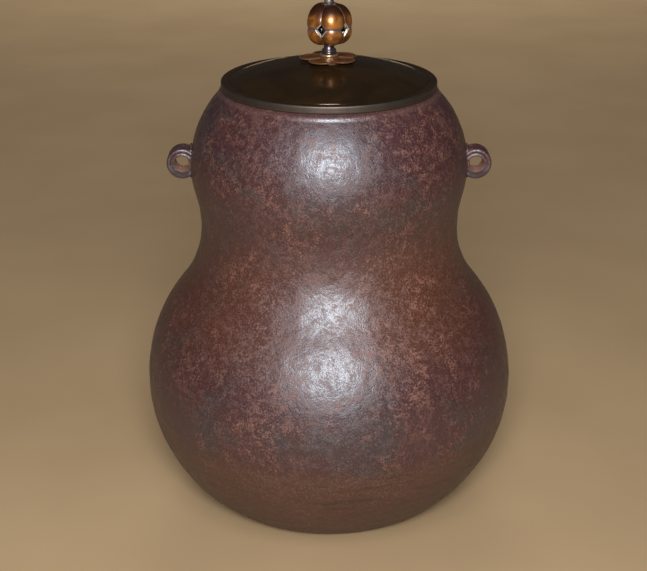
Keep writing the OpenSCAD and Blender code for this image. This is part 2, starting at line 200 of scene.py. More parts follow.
def paintRustedIron(look):
    paint, place = newPaint("rustedIron")
    drift = place.cloud(22, 4, 0.55, 0.7)
    patch = place.stretch((1, 1, 1.3), look["shift"]).cloud(105, 5, 0.62, 0.6)
    blush = place.stretch((1.2, 1.2, 0.9)).cloud(47, 5, 0.62, 0.8)
    spot = place.cloud(310, 4, 0.62, 0.3)
    grain = place.cloud(1350, 3, 0.70)
    sand = place.cloud(2600, 2, 0.60)
    streak = place.stretch((0.10, 0.10, 1)).cloud(420, 3, 0.6)

    # Where each finish lies
    bandWander, lipWander, boreWander = look["wander"]
    height = place.split("Z") + (patch - 0.5) * bandWander
    start, full, hold, end = look["waist"]
    waist = height.step(start, full) * (1 - height.step(hold, end))
    aside, up, radius = look["bore"]
    bore = (place.split("X").size() - aside).reach(place.split("Z") - up)
    near, far = look["boreFade"]
    # bore iron rubbed by ring handles and painted paler as light falling in
    rubbedAndLit = 1 - (bore + (spot - 0.5) * boreWander).step(radius + near, radius + far)
    out, high = look["lugStart"]
    outFade, highFade = look["lugFade"]
    # painted shade under each lug, up to a little below the bore's middle
    shade = place.split("X").size().step(out, out + outFade) * height.step(high, high + highFade)
    near, far = look["shadeFade"]
    shade = shade * (1 - place.split("Z").step(up + near, up + far)) * (1 - rubbedAndLit)
    aside, up = look["blaze"]
    blaze = 1 - (place.split("X") - aside).reach(place.split("Z") - up).step(*look["blazeFade"])
    bead = place.split("Z") + (spot - 0.5) * lipWander
    # painted highlight along the bead under the lid, which is also glossier
    beadHighlight = bead.step(look["lip"] - look["lipFade"], look["lip"])
    near, far = look["seamFade"]
    foot = 1 - height.step(look["seam"] + near, look["seam"] + far)
    rust = (spot * 0.5 + patch * 0.5).step(0.46, 0.60)
    slate = (drift * 0.55 + patch * 0.45).step(0.48, 0.62)
    fleck = (grain * 0.6 + spot * 0.4).step(0.49, 0.60)
    bloom = fleck * (blush.step(0.47, 0.64) * 0.85 + 0.10 + blaze * 0.30) * (1 - foot * 0.5)

    # Colours, laid one over another
    colour = rust.tint(look["patina"], look["rust"])
    colour = (slate * 0.75).tint(colour, look["slate"])
    colour = (waist * 0.5 + blaze * 0.25).tint(colour, look["umber"])
    colour = (foot * 0.75).tint(colour, look["hearth"])
    colour = (bloom * 0.75).tint(colour, look["bloom"])
    colour = (grain.step(0.55, 0.72) * 0.40).tint(colour, look["dust"])
    colour = ((1 - grain.step(0.30, 0.48)) * 0.75).tint(colour, look["pit"])
    colour = (foot * streak.step(0.52, 0.68) * 0.40).tint(colour, look["pit"])
    # painted highlight on the bead
    colour = (beadHighlight * 0.20).tint(colour, look["dust"])
    # painted shade under the lugs
    colour = (shade * 0.8).tint(colour, look["lugUnderShade"])
    # the bores: rubbed iron and painted light
    colour = (rubbedAndLit * (0.55 + spot * 0.5)).tint(colour, look["boreWearAndLight"])

    # Gloss and grain
    matte = (grain * 0.45 + spot * 0.35 + patch * 0.20).step(0.46, 0.57)
    rough = 0.35 + matte * 0.23 + bloom * 0.10 + foot * 0.10 + shade * 0.50 - beadHighlight * 0.10
    lumps = (patch * 0.5 + spot * 0.5).bump(look["swell"], 0.5)
    relief = grain * 0.65 + sand * 0.20 + spot * 0.15
    skin = place.node("Bump", {}, {
        "Height": relief * (1 - foot * 0.35), "Distance": look["grain"], "Normal": lumps})
    finishPaint(place, {
        "Base Color": colour, "Roughness": rough, "Normal": skin, "IOR": look["gloss"],
        "Specular Tint": look["glint"]})
    return paint


# Dark bronze of the lid, with a paler worn rim band

darkBronze = {
    "bronze": (0.036, 0.019, 0.007, 1),
    "stain": (0.019, 0.011, 0.006, 1),
    "worn": (0.105, 0.087, 0.075, 1),
    "rimStart": 0.0484,                       # radius where the worn band starts
    "rimFade": 0.0006,
    "wander": 0.0006,                         # how unsteady the band's edge is
    "relief": 0.0004,
}


def paintDarkBronze(look):
    paint, place = newPaint("darkBronze")
    smoke = place.cloud(38, 4, 0.6, 0.5)
    wipe = place.stretch((1, 1, 0.3)).cloud(210, 4, 0.65)
    dust = place.cloud(1400, 2, 0.5)
    out = place.radius() + (wipe - 0.5) * look["wander"]
    worn = out.step(look["rimStart"], look["rimStart"] + look["rimFade"])
    colour = smoke.step(0.35, 0.70).tint(look["bronze"], look["stain"])
    colour = (worn * (0.60 + wipe * 0.6)).tint(colour, look["worn"])
    rough = 0.11 + smoke * 0.08 + dust.step(0.55, 0.75) * 0.06 + worn * 0.32
    skin = (smoke * 0.7 + wipe * 0.3).bump(look["relief"], 0.35)
    finishPaint(place, {
        "Base Color": colour, "Roughness": rough, "Metallic": 0.4 + worn * 0.5, "Normal": skin})
    return paint


# Brown copper of the blossom seat, with raised borders that handling keeps bright

brownCopper = {
    "copper": (0.150, 0.052, 0.013, 1),
    "tarnish": (0.062, 0.023, 0.008, 1),
    "bright": (0.240, 0.130, 0.080, 1),
    "relief": 0.00012,
    "lacquer": (0.4, 0.26),                   # weight and roughness of the clear coat
}


def paintBrownCopper(look):
    paint, place = newPaint("brownCopper")
    rim = place.node("Attribute", {"attribute_name": "rim"}, out=2)
    cloud = place.cloud(260, 4, 0.6)
    scratch = place.cloud(1900, 2, 0.5)
    colour = cloud.step(0.38, 0.66).tint(look["copper"], look["tarnish"])
    colour = (rim * (0.10 + 0.90 * cloud.step(0.44, 0.64))).tint(colour, look["bright"])
    rough = 0.24 + cloud * 0.14 + scratch * 0.06
    skin = (cloud * 0.7 + scratch * 0.3).bump(look["relief"], 0.4)
    coat, coatRough = look["lacquer"]
    finishPaint(place, {
        "Base Color": colour, "Roughness": rough, "Metallic": 0.35, "Normal": skin,
        "Coat Weight": coat, "Coat Roughness": coatRough})
    return paint


# Amber copper of the knob's petals: painted shade at borders and ends, painted dark reflection on the crown,
# grey-plum at the waist

amberCopper = {
    "amber": (0.420, 0.165, 0.032, 1),
    "deep": (0.220, 0.074, 0.016, 1),
    # painted dark reflection on the petals' tops
    "crown": (0.036, 0.011, 0.005, 1),
    "waist": (0.150, 0.100, 0.092, 1),
    "petalShade": (0.075, 0.024, 0.008, 1),       # painted shade towards the borders and the ends of the petals
    "crownFade": (0.0042, 0.0082),            # heights over the waist line, where the painted dark crown comes in
    "waistFade": (0.0005, 0.0016),
    "endFade": (0.0045, 0.0075),              # where painted shade darkens the petals to their ends, up and down
    "wander": 0.0030,                         # how unsteady the crown's edge is
    "petals": 5,
    "turn": radians(284),                     # a petal's bearing from +X
    "relief": 0.00015,
    "gloss": (0.7, 0.15),                     # weight and roughness of a thin polish over the copper
}


def paintAmberCopper(look, waistHeight):
    paint, place = newPaint("amberCopper")
    cloud = place.cloud(330, 4, 0.6, 0.3)
    fine = place.cloud(2100, 2, 0.5)
    up = place.split("Z") - waistHeight
    lift = up + (cloud - 0.5) * look["wander"]
    crown = lift.step(*look["crownFade"])
    band = 1 - up.size().step(*look["waistFade"])
    bearing = place.maths("ARCTAN2", place.split("Y"), place.split("X")) - look["turn"]
    petalShade = 1 - (bearing * look["petals"]).wave().step(-0.95, 0.35)
    ends = up.size().step(*look["endFade"])
    # painted shade at the borders and the ends, and a painted dark reflection on the crown
    colour = cloud.step(0.40, 0.64).tint(look["amber"], look["deep"])
    colour = (petalShade * 0.75).tint(colour, look["petalShade"])
    colour = (ends * 0.6).tint(colour, look["petalShade"])
    colour = (crown * 0.95).tint(colour, look["crown"])
    colour = (band * 0.8).tint(colour, look["waist"])
    rough = 0.26 + cloud * 0.14 + fine * 0.05 + crown * 0.15
    skin = (cloud * 0.8 + fine * 0.2).bump(look["relief"], 0.35)
    coat, coatRough = look["gloss"]
    finishPaint(place, {
        "Base Color": colour, "Roughness": rough, "Metallic": 0.55, "Normal": skin,
        "Coat Weight": (1 - crown * 0.9) * coat, "Coat Roughness": coatRough,
        "Specular IOR Level": 0.25})
    return paint


# Pale bronze: dulled on the calyx, bud and rod, and bright where the knob's petals are cut

paleBronze = {
    "pale": (0.240, 0.205, 0.180, 1),
    "grey": (0.090, 0.076, 0.074, 1),
    "metal": 0.7,
    "rough": 0.34,
    "relief": 0.0001,
}

cutBronze = {
    "pale": (0.480, 0.450, 0.390, 1),
    "grey": (0.270, 0.240, 0.205, 1),
    "metal": 0.4,
    "rough": 0.18,
    "relief": 0.0001,
}


def paintPaleBronze(name, look):
    paint, place = newPaint(name)
    cloud = place.cloud(420, 4, 0.6)
    colour = cloud.step(0.40, 0.66).tint(look["pale"], look["grey"])
    rough = look["rough"] + cloud * 0.16
    skin = cloud.bump(look["relief"], 0.4)
    finishPaint(place, {
        "Base Color": colour, "Roughness": rough, "Metallic": look["metal"], "Normal": skin})
    return paint


# Plum-grey bronze of the neck, golden on its flange

spoolBronze = {
    "plum": (0.165, 0.130, 0.140, 1),
    "grey": (0.085, 0.070, 0.074, 1),
    "gold": (0.560, 0.400, 0.220, 1),
    "flangeStart": 0.0034,                    # radius where the flange's gold starts
    "flangeFade": 0.0003,
    "relief": 0.0001,
}


def paintSpoolBronze(look):
    paint, place = newPaint("spoolBronze")
    cloud = place.cloud(420, 4, 0.6)
    gold = place.radius().step(look["flangeStart"], look["flangeStart"] + look["flangeFade"])
    colour = cloud.step(0.40, 0.66).tint(look["plum"], look["grey"])
    colour = gold.tint(colour, look["gold"])
    rough = 0.24 + cloud * 0.14
    skin = cloud.bump(look["relief"], 0.4)
    finishPaint(place, {"Base Color": colour, "Roughness": rough, "Metallic": 0.85, "Normal": skin})
    return paint


# Bare iron of the singing strips and black lacquer of their beds

bareIron = {
    "steel": (0.160, 0.148, 0.140, 1),
    "rust": (0.130, 0.058, 0.036, 1),
    "relief": 0.0003,
}

blackLacquer = {
    "lacquer": (0.012, 0.008, 0.007, 1),
    "ash": (0.050, 0.036, 0.030, 1),
    "relief": 0.0003,
}


def paintBareIron(look):
    paint, place = newPaint("bareIron")
    scale = place.cloud(300, 5, 0.65)
    grain = place.cloud(1500, 3, 0.6)
    rust = scale.step(0.46, 0.62)
    colour = rust.tint(look["steel"], look["rust"])
    rough = 0.45 + rust * 0.3
    skin = (scale * 0.6 + grain * 0.4).bump(look["relief"], 0.6)
    finishPaint(place, {
        "Base Color": colour, "Roughness": rough, "Metallic": 0.7 - rust * 0.6, "Normal": skin})
    return paint


def paintBlackLacquer(look):
    paint, place = newPaint("blackLacquer")
    crust = place.cloud(380, 4, 0.65)
    colour = crust.step(0.50, 0.72).tint(look["lacquer"], look["ash"])
    rough = 0.35 + crust * 0.35
    skin = crust.bump(look["relief"], 0.6)
    finishPaint(place, {"Base Color": colour, "Roughness": rough, "Normal": skin})
    return paint


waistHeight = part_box("knob_upper_shell")[0].z
ironPaint = paintRustedIron(rustedIron)
lidPaint = paintDarkBronze(darkBronze)
seatPaint = paintBrownCopper(brownCopper)
petalPaint = paintAmberCopper(amberCopper, waistHeight)
palePaint = paintPaleBronze("paleBronze", paleBronze)
cutPaint = paintPaleBronze("cutBronze", cutBronze)
spoolPaint = paintSpoolBronze(spoolBronze)
stripPaint = paintBareIron(bareIron)
lacquerPaint = paintBlackLacquer(blackLacquer)
print("finishes mixed")


# Profile drawing in the XZ plane, and the turning of a profile round the axis

def startLine(bm, x, z):
    return bmesh.ops.create_vert(bm, co=(x, 0, z))["vert"][0]


def lineTo(bm, tip, x, z, pieces=1):
    start = tip.co.copy()
    end = Vector((x, 0, z))
    for i in range(pieces):
        tip = bmesh.ops.extrude_vert_indiv(bm, verts=[tip])["verts"][0]
        tip.co = start.lerp(end, (i + 1) / pieces)
    return tip


def arcTo(bm, tip, centre, turn, pieces):     # a plus turn runs anticlockwise
    made = bmesh.ops.spin(
        bm, geom=[tip], cent=(centre[0], 0, centre[1]), axis=(0, -1, 0), angle=turn, steps=pieces)
    return next(part for part in made["geom_last"] if isinstance(part, bmesh.types.BMVert))


def turnProfile(bm, segments):
    bmesh.ops.spin(
        bm, geom=bm.verts[:] + bm.edges[:], cent=(0, 0, 0), axis=(0, 0, 1), angle=tau,
        steps=segments, use_merge=True)
    cleanShape(bm)


def cleanShape(bm):
    bmesh.ops.remove_doubles(bm, verts=bm.verts, dist=weld)
    bmesh.ops.recalc_face_normals(bm, faces=bm.faces)


def allOf(bm):
    return bm.verts[:] + bm.edges[:] + bm.faces[:]


def cut(bm, point, facing, clear=True):       # to clear is to drop the side that facing points to
    bmesh.ops.bisect_plane(
        bm, geom=allOf(bm), dist=weld, plane_co=point, plane_no=facing, clear_outer=clear)


def roundAxis(bm, look):                      # repeats the petal on +X round the axis and turns them all
    copies = look["petals"]
    bmesh.ops.spin(
        bm, geom=allOf(bm), cent=(0, 0, 0), axis=(0, 0, 1), angle=tau * (copies - 1) / copies,
        steps=copies - 1, use_duplicate=True)
    turn = Matrix.Rotation(look["turn"], 3, "Z")
    bmesh.ops.rotate(bm, verts=bm.verts, cent=(0, 0, 0), matrix=turn)


def finishPiece(bm, name, body, paints, replaced, sharp=radians(40)):
    mesh = bpy.data.meshes.new(name)
    bm.to_mesh(mesh)
    bm.free()
    mesh.shade_smooth()
    mesh.set_sharp_from_angle(angle=sharp)
    for paint in paints:
        mesh.materials.append(paint)
    piece = bpy.data.objects.new(name, mesh)
    scene.collection.objects.link(piece)
    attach(piece, body)
    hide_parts(*replaced)
    print("made", name, len(mesh.polygons), "faces")
    return piece


def mixBetween(low, high, value):             # smooth 0 to 1 as the value goes from low to high
    t = min(max((value - low) / (high - low), 0), 1)
    return t * t * (3 - 2 * t)


# Kettle: one gourd-shaped casting

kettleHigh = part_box("kettle_body")[1]

gourd = {
    "bellyRadius": kettleHigh.x,
    "bellyHeight": 0.060,
    "bellyArc": 0.0725,                       # radius of the profile's arc
    "bulbRadius": 0.064,
    "bulbHeight": 0.166,
    "bulbArc": 0.048,
    "waistArc": 0.052,
    "footArc": 0.008,
    "wall": 0.004,
    "lipWidth": 0.003,
    "lipHeight": kettleHigh.z,
    "segments": 360,
    "outerStep": 0.0015,                      # spacing of the rings, outside and inside
    "innerStep": 0.0060,
    "shift": Vector((0, 0, 0.0066)),          # moves the lumps up the casting
    "swell": (28, 0.00034),                   # lumps of the casting: how many a metre, how deep
    "ripple": (120, 0.00016),
    "sand": (330, 0.00010),
    "insideShare": 0.5,                       # how rough the inside is beside the outside
    "footCalm": 0.004,                        # the lumps fade out this near the foot and the lip
    "lipCalm": 0.005,
    "bead": (0.1988, 0.2002, 0.2004, 0.2017),  # where the bead under the lid starts, is full and ends
    "beadProud": 0.00055,
    "beadReach": 0.0050,                      # length of the profile under the lip that is drawn finely
    "beadStep": 0.0003,
    "seamHeight": rustedIron["seam"],
    "seamProud": 0.00022,
    "seamWidth": 0.0011,
}


def gourdArcs(look, inset):                   # centre, radius, start angle and turn of each arc, foot to lip
    belly = Vector((look["bellyRadius"] - look["bellyArc"], look["bellyHeight"]))
    bulb = Vector((look["bulbRadius"] - look["bulbArc"], look["bulbHeight"]))
    way = bulb - belly
    fromBelly = look["bellyArc"] + look["waistArc"]
    fromBulb = look["bulbArc"] + look["waistArc"]
    along = (fromBelly ** 2 - fromBulb ** 2 + way.length_squared) / (2 * way.length)
    aside = sqrt(fromBelly ** 2 - along ** 2)
    way.normalize()
    waist = belly + way * along + Vector((way.y, -way.x)) * aside
    bellyTop = atan2(waist.y - belly.y, waist.x - belly.x)
    bulbLow = atan2(waist.y - bulb.y, waist.x - bulb.x)
    footRise = look["bellyHeight"] - look["footArc"]
    reach = sqrt((look["bellyArc"] - look["footArc"]) ** 2 - footRise ** 2)
    foot = Vector((belly.x + reach, look["footArc"]))
    footEnd = atan2(foot.y - belly.y, reach)
    bulbIn = look["bulbArc"] - inset
    if inset:
        mouth = mouthRadius(look) - bulb.x
        lipEnd = atan2(sqrt(bulbIn ** 2 - mouth ** 2), mouth)
    else:
        lipEnd = asin((look["lipHeight"] - bulb.y) / bulbIn)
    return [
        (foot, look["footArc"] - inset, -pi / 2, footEnd + pi / 2),
        (belly, look["bellyArc"] - inset, footEnd, bellyTop - footEnd),
        (waist, look["waistArc"] + inset, bellyTop + pi, bulbLow - bellyTop),
        (bulb, bulbIn, bulbLow, lipEnd - bulbLow),
    ]


def mouthRadius(look):
    bulbCentre = look["bulbRadius"] - look["bulbArc"]
    lip = bulbCentre + sqrt(look["bulbArc"] ** 2 - (look["lipHeight"] - look["bulbHeight"]) ** 2)
    return lip - look["lipWidth"]


def roughSkin(look, place):                   # how far the casting stands off its true form
    off = 0
    for many, deep in (look["swell"], look["ripple"], look["sand"]):
        off += deep * noise.noise((place - look["shift"]) * many)
    off += look["seamProud"] * exp(-((place.z - look["seamHeight"]) / look["seamWidth"]) ** 2)
    off *= mixBetween(0, look["footCalm"], place.z)
    return off * mixBetween(0, look["lipCalm"], look["lipHeight"] - place.z)


def lipBead(look, height):                    # how far the bead under the lid stands off
    start, full, hold, end = look["bead"]
    return look["beadProud"] * mixBetween(start, full, height) * (1 - mixBetween(hold, end, height))


def makeKettle(look):
    bm = bmesh.new()
    outside = bm.verts.layers.float.new("outside")
    arcs = gourdArcs(look, 0)
    tip = startLine(bm, 0, 0)
    tip = lineTo(bm, tip, arcs[0][0].x, 0, pieces=16)
    centre, radius, start, turn = arcs.pop()
    fine = look["beadReach"] / radius         # end of the last arc, drawn finely for the bead
    arcs.append((centre, radius, start, turn - fine))
    for centre, radius, start, turn in arcs:
        tip = arcTo(bm, tip, centre, turn, pieces=ceil(abs(radius * turn) / look["outerStep"]))
    tip = arcTo(bm, tip, centre, fine, pieces=ceil(look["beadReach"] / look["beadStep"]))
    for vert in bm.verts:
        vert[outside] = 1
    arcs = gourdArcs(look, look["wall"])
    centre, radius, start, turn = arcs[-1]
    tip = lineTo(bm, tip, mouthRadius(look), look["lipHeight"], pieces=2)
    tip = lineTo(bm, tip, mouthRadius(look), centre.y + radius * sin(start + turn), pieces=2)
    tip[outside] = 0
    for centre, radius, start, turn in reversed(arcs):
        tip = arcTo(bm, tip, centre, -turn, pieces=ceil(abs(radius * turn) / look["innerStep"]))
    lineTo(bm, tip, 0, look["wall"], pieces=10)
    turnProfile(bm, look["segments"])
    bm.normal_update()
    moves = []
    inside = look["insideShare"]
    for vert in bm.verts:
        off = roughSkin(look, vert.co) * (inside + (1 - inside) * vert[outside])
        moves.append(vert.normal * (off + lipBead(look, vert.co.z) * vert[outside]))
    for vert, move in zip(bm.verts, moves):
        vert.co += move
    finishPiece(bm, "kettleSkin", "kettle", [ironPaint], ["kettle_body"])


makeKettle(gourd)


# Lugs: ridged tubes with a flared root, cast on the upper bulb

lugLow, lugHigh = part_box("lug_right")

lug = {
    "bore": rustedIron["bore"][2],
    "outer": (lugHigh.z - lugLow.z) / 2,
    "halfWidth": (lugHigh.y - lugLow.y) / 2,
    "collar": 0.0006,                         # roundings of the end face, from the bore outwards
    "groove": 0.00035,
    "lean": radians(36),                      # slope at which collar, groove and ridge run together
    "segments": 96,
    "armWidth": 0.0086,
    "armThick": 0.0021,
    "armRoot": 0.001,                         # how far an arm runs into the wall
    "padSize": (0.0017, 0.0053, 0.0086),      # half sizes of the flare
    "padIn": 0.0003,
    "padSteps": (48, 32),
    "voxel": 0.00021,
    "smoothing": (4, 0.5),                    # passes, and how far each goes
}


def lugTube(look):
    bm = bmesh.new()
    collar, groove = look["collar"], look["groove"]
    rise = Vector((cos(look["lean"]), sin(look["lean"])))
    fall = Vector((rise.x, -rise.y))
    tip = startLine(bm, look["bore"], 0)
    tip = lineTo(bm, tip, look["bore"], look["halfWidth"] - collar, pieces=6)
    centre = Vector((look["bore"] + collar, look["halfWidth"] - collar))
    tip = arcTo(bm, tip, centre, look["lean"] - pi, pieces=6)
    centre = centre + rise * (collar + groove)
    tip = arcTo(bm, tip, centre, pi - 2 * look["lean"], pieces=6)
    ridgeStart = centre + fall * groove
    ridge = (look["outer"] - ridgeStart.x) / (1 + fall.x)
    tip = arcTo(bm, tip, ridgeStart + fall * ridge, look["lean"] - pi, pieces=8)
    lineTo(bm, tip, look["outer"], 0, pieces=6)
    bmesh.ops.mirror(bm, geom=bm.verts[:] + bm.edges[:], axis="Z", merge_dist=weld)
    turnProfile(bm, look["segments"])
    bmesh.ops.rotate(bm, verts=bm.verts, cent=(0, 0, 0), matrix=Matrix.Rotation(pi / 2, 3, "X"))
    return bm


def addArm(bm, look, side, length):           # web over or under the bore, from the tube back to the wall
    made = bmesh.ops.create_cube(bm, size=1)["verts"]
    bmesh.ops.scale(bm, verts=made, vec=(length, look["armWidth"], look["armThick"]))
    middle = (look["bore"] + look["outer"]) / 2
    bmesh.ops.translate(bm, verts=made, vec=(-length / 2, 0, side * middle))


def addPad(bm, look, wallGap):                # flare where the lug grows out of the wall
    around, upward = look["padSteps"]
    made = bmesh.ops.create_uvsphere(bm, u_segments=around, v_segments=upward, radius=1)["verts"]
    bmesh.ops.scale(bm, verts=made, vec=look["padSize"])
    bmesh.ops.translate(bm, verts=made, vec=(-wallGap - look["padIn"], 0, 0))


def makeLug(look, name, node, side):
    bm = lugTube(look)
    wallGap = lugHigh.x - look["outer"] - gourd["bulbRadius"]
    for over in (-1, 1):
        addArm(bm, look, over, wallGap + look["armRoot"])
    addPad(bm, look, wallGap)
    centre = (lugLow + lugHigh) / 2
    bmesh.ops.translate(bm, verts=bm.verts, vec=(lugHigh.x - look["outer"], centre.y, centre.z))
    if side < 0:
        bmesh.ops.scale(bm, verts=bm.verts, vec=(-1, 1, 1))
    cleanShape(bm)
    piece = finishPiece(bm, name, "kettle", [ironPaint], [node])
    skin = piece.modifiers.new("oneCasting", "REMESH")
    skin.mode = "VOXEL"
    skin.voxel_size = look["voxel"]
    skin.use_smooth_shade = True
    soft = piece.modifiers.new("softened", "SMOOTH")
    soft.iterations, soft.factor = look["smoothing"]


makeLug(lug, "lugRight", "lug_right", 1)
makeLug(lug, "lugLeft", "lug_left", -1)


# Lid: rim band, flat margin, groove and low dome

lidLow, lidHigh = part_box("lid_plate")

lid = {
    "radius": lidHigh.x,
    "bottom": lidLow.z,
    "land": lidHigh.z,                        # flat under the blossom seat
    "landRadius": 0.009,
    "rimHeight": 0.0035,
    "rimWidth": 0.0040,
    "edge": 0.0007,
    "domeHeight": 0.0089,
    "plate": 0.002,
    "groove": 0.0003,
    "line": 0.00016,                          # radius of the fine line turned round the rim band
    "linePlace": 0.42,                        # its height, as a share of the rim's
    "underRadius": 0.04255,
    "hole": 0.00153,
    "segments": 224,
}


def makeLid(look):
    bm = bmesh.new()
    rimTop = look["bottom"] + look["rimHeight"]
    domeFoot = look["radius"] - look["rimWidth"]
    sphere = (domeFoot ** 2 + look["domeHeight"] ** 2) / (2 * look["domeHeight"])
    centre = Vector((0, rimTop + look["domeHeight"] - sphere))
    edge, groove, line = look["edge"], look["groove"], look["line"]
    start = atan2(look["land"] - centre.y, look["landRadius"])
    end = atan2(rimTop - centre.y, domeFoot - groove)
    under = sphere - look["plate"]
    underEnd = atan2(sqrt(under ** 2 - look["underRadius"] ** 2), look["underRadius"])
    underStart = atan2(sqrt(under ** 2 - look["hole"] ** 2), look["hole"])
    band = look["bottom"] + look["rimHeight"] * look["linePlace"]
    tip = startLine(bm, look["hole"], look["land"])
    tip = lineTo(bm, tip, sphere * cos(start), look["land"], pieces=3)
    tip = arcTo(bm, tip, centre, end - start, pieces=48)
    tip = lineTo(bm, tip, domeFoot - groove, rimTop)
    tip = arcTo(bm, tip, (domeFoot, rimTop), pi, pieces=8)
    tip = lineTo(bm, tip, look["radius"] - edge, rimTop, pieces=3)
    tip = arcTo(bm, tip, (look["radius"] - edge, rimTop - edge), -pi / 2, pieces=8)
    tip = lineTo(bm, tip, look["radius"], band + line, pieces=3)
    tip = arcTo(bm, tip, (look["radius"], band), pi, pieces=5)
    tip = lineTo(bm, tip, look["radius"], look["bottom"] + edge, pieces=2)
    tip = arcTo(bm, tip, (look["radius"] - edge, look["bottom"] + edge), -pi / 2, pieces=6)
    tip = lineTo(bm, tip, look["underRadius"], look["bottom"], pieces=3)
    tip = lineTo(bm, tip, look["underRadius"], centre.y + under * sin(underEnd), pieces=2)
    tip = arcTo(bm, tip, centre, underStart - underEnd, pieces=20)
    lineTo(bm, tip, look["hole"], look["land"])
    turnProfile(bm, look["segments"])
    finishPiece(
        bm, "lidPlate", "lid", [lidPaint], ["lid_plate"], sharp=radians(32))


makeLid(lid)


# Blossom seat: five round petals with raised rims, on a low foot and round a boss

seatLow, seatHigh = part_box("knob_seat")

seat = {
    "petals": 5,
    "turn": radians(246),                     # a petal's bearing from +X
    "petalRadius": 0.0061,
    "petalRing": 0.0075,
    "footRadius": 0.0090,
    "footHeight": 0.0008,
    "footOverlap": 0.0002,                    # how far the foot reaches into the petals
    "bossRadius": 0.0046,
    "bossOverlap": 0.00184,                   # how far the petals reach into the boss
    "footEasing": 0.0001,
    "bossEasing": 0.0002,
    "drumSegments": 96,
    "gap": 0.00005,                           # hairline between petals
    "rings": 44,
    "segments": 168,
    "edge": 0.00050,                          # height of the petal's face over its underside
    "rimRise": 0.00042,
    "rimWidth": 0.00075,
    "rimCrest": 0.45,                         # shares of the rim's width: its crest's depth and spread
    "rimSpread": 0.36,
    "rimBright": (0.55, 0.95),                # and where its bright metal fades out
    "crown": 0.00030,                         # soft swelling of the face inside the rim
    "crownReach": 5,                          # rim widths to where it is full
    "droop": 0.00030,                         # how far a petal's tip bows to the lid
    "wall": 0.00045,
}


def petalDisc(bm, look):                      # one round petal on +X, drawn as rings about its own centre
    middle = look["petalRing"]
    tip = startLine(bm, middle, 0)
    lineTo(bm, tip, middle + look["petalRadius"], 0, pieces=look["rings"])
    bmesh.ops.spin(
        bm, geom=bm.verts[:] + bm.edges[:], cent=(middle, 0, 0), axis=(0, 0, 1), angle=tau,
        steps=look["segments"], use_merge=True)
    bmesh.ops.remove_doubles(bm, verts=bm.verts, dist=weld)
    trimSector(bm, look["petals"], look["gap"])


def trimSector(bm, petals, gap):              # keeps one petal's share of the round, less a hairline gap
    for facing in borderFacings(petals):
        cut(bm, facing * -gap, facing)


def borderFacings(petals):                    # outward normals of the two borders of the petal on +X
    half = pi / petals
    return [Vector((-sin(half), side * cos(half), 0)) for side in (-1, 1)]


def depthInside(look, place):                 # distance from a petal's outline
    away = Vector((place.x - look["petalRing"], place.y, 0)).length
    borders = [-look["gap"] - facing.dot(place) for facing in borderFacings(look["petals"])]
    return max(min(look["petalRadius"] - away, *borders), 0)


def seatPetal(look):
    bm = bmesh.new()
    rim = bm.verts.layers.float.new("rim")
    petalDisc(bm, look)
    width = look["rimWidth"]
    reach = look["petalRing"] + look["petalRadius"] - look["bossRadius"]
    bright, dull = look["rimBright"]
    for vert in bm.verts:
        depth = depthInside(look, vert.co)
        ridge = exp(-((depth - width * look["rimCrest"]) / (width * look["rimSpread"])) ** 2)
        crown = mixBetween(width, look["crownReach"] * width, depth)
        out = max(vert.co.xy.length - look["bossRadius"], 0) / reach
        face = look["edge"] + look["rimRise"] * ridge + look["crown"] * crown
        vert[rim] = 1 - mixBetween(width * bright, width * dull, depth)
        vert.co.z = seatLow.z + look["footHeight"] + face - look["droop"] * out ** 2
    cut(bm, (look["bossRadius"] - look["bossOverlap"], 0, 0), (-1, 0, 0))
    return bm


def addDrum(bm, look, radius, high, easing):  # short cylinder from the lid up, with its top edge eased
    middle = (seatLow.z + high) / 2
    made = bmesh.ops.create_cone(
        bm, cap_ends=True, segments=look["drumSegments"], radius1=radius, radius2=radius,
        depth=high - seatLow.z, matrix=Matrix.Translation((0, 0, middle)))["verts"]
    top = [edge for edge in bm.edges if all(v in made and v.co.z > middle for v in edge.verts)]
    bmesh.ops.bevel(
        bm, geom=top, offset=easing, segments=3, profile=0.5, affect="EDGES", material=-1,
        clamp_overlap=True)


def makeSeat(look):
    bm = seatPetal(look)
    roundAxis(bm, look)
    bmesh.ops.recalc_face_normals(bm, faces=bm.faces)
    bmesh.ops.solidify(bm, geom=bm.faces[:], thickness=look["wall"])
    foot = seatLow.z + look["footHeight"] + look["footOverlap"]
    addDrum(bm, look, look["footRadius"], foot, look["footEasing"])
    addDrum(bm, look, look["bossRadius"], seatHigh.z, look["bossEasing"])
    bmesh.ops.recalc_face_normals(bm, faces=bm.faces)
    finishPiece(
        bm, "blossomSeat", "lid", [seatPaint], ["knob_seat"], sharp=radians(55))


makeSeat(seat)


# Neck: a spool with a foot flange, cove and bead

neckLow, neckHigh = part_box("knob_neck")

neck = {
    "hole": 0.00155,
    "flange": neckHigh.x,
    "flangeThick": 0.0010,
    "waist": 0.0026,
    "cove": 0.0008,
    "bead": 0.0007,
    "beadHeight": 0.0025,
    "throat": 0.0023,
    "throatHeight": 0.0046,
    "top": 0.0027,
    "segments": 96,
}


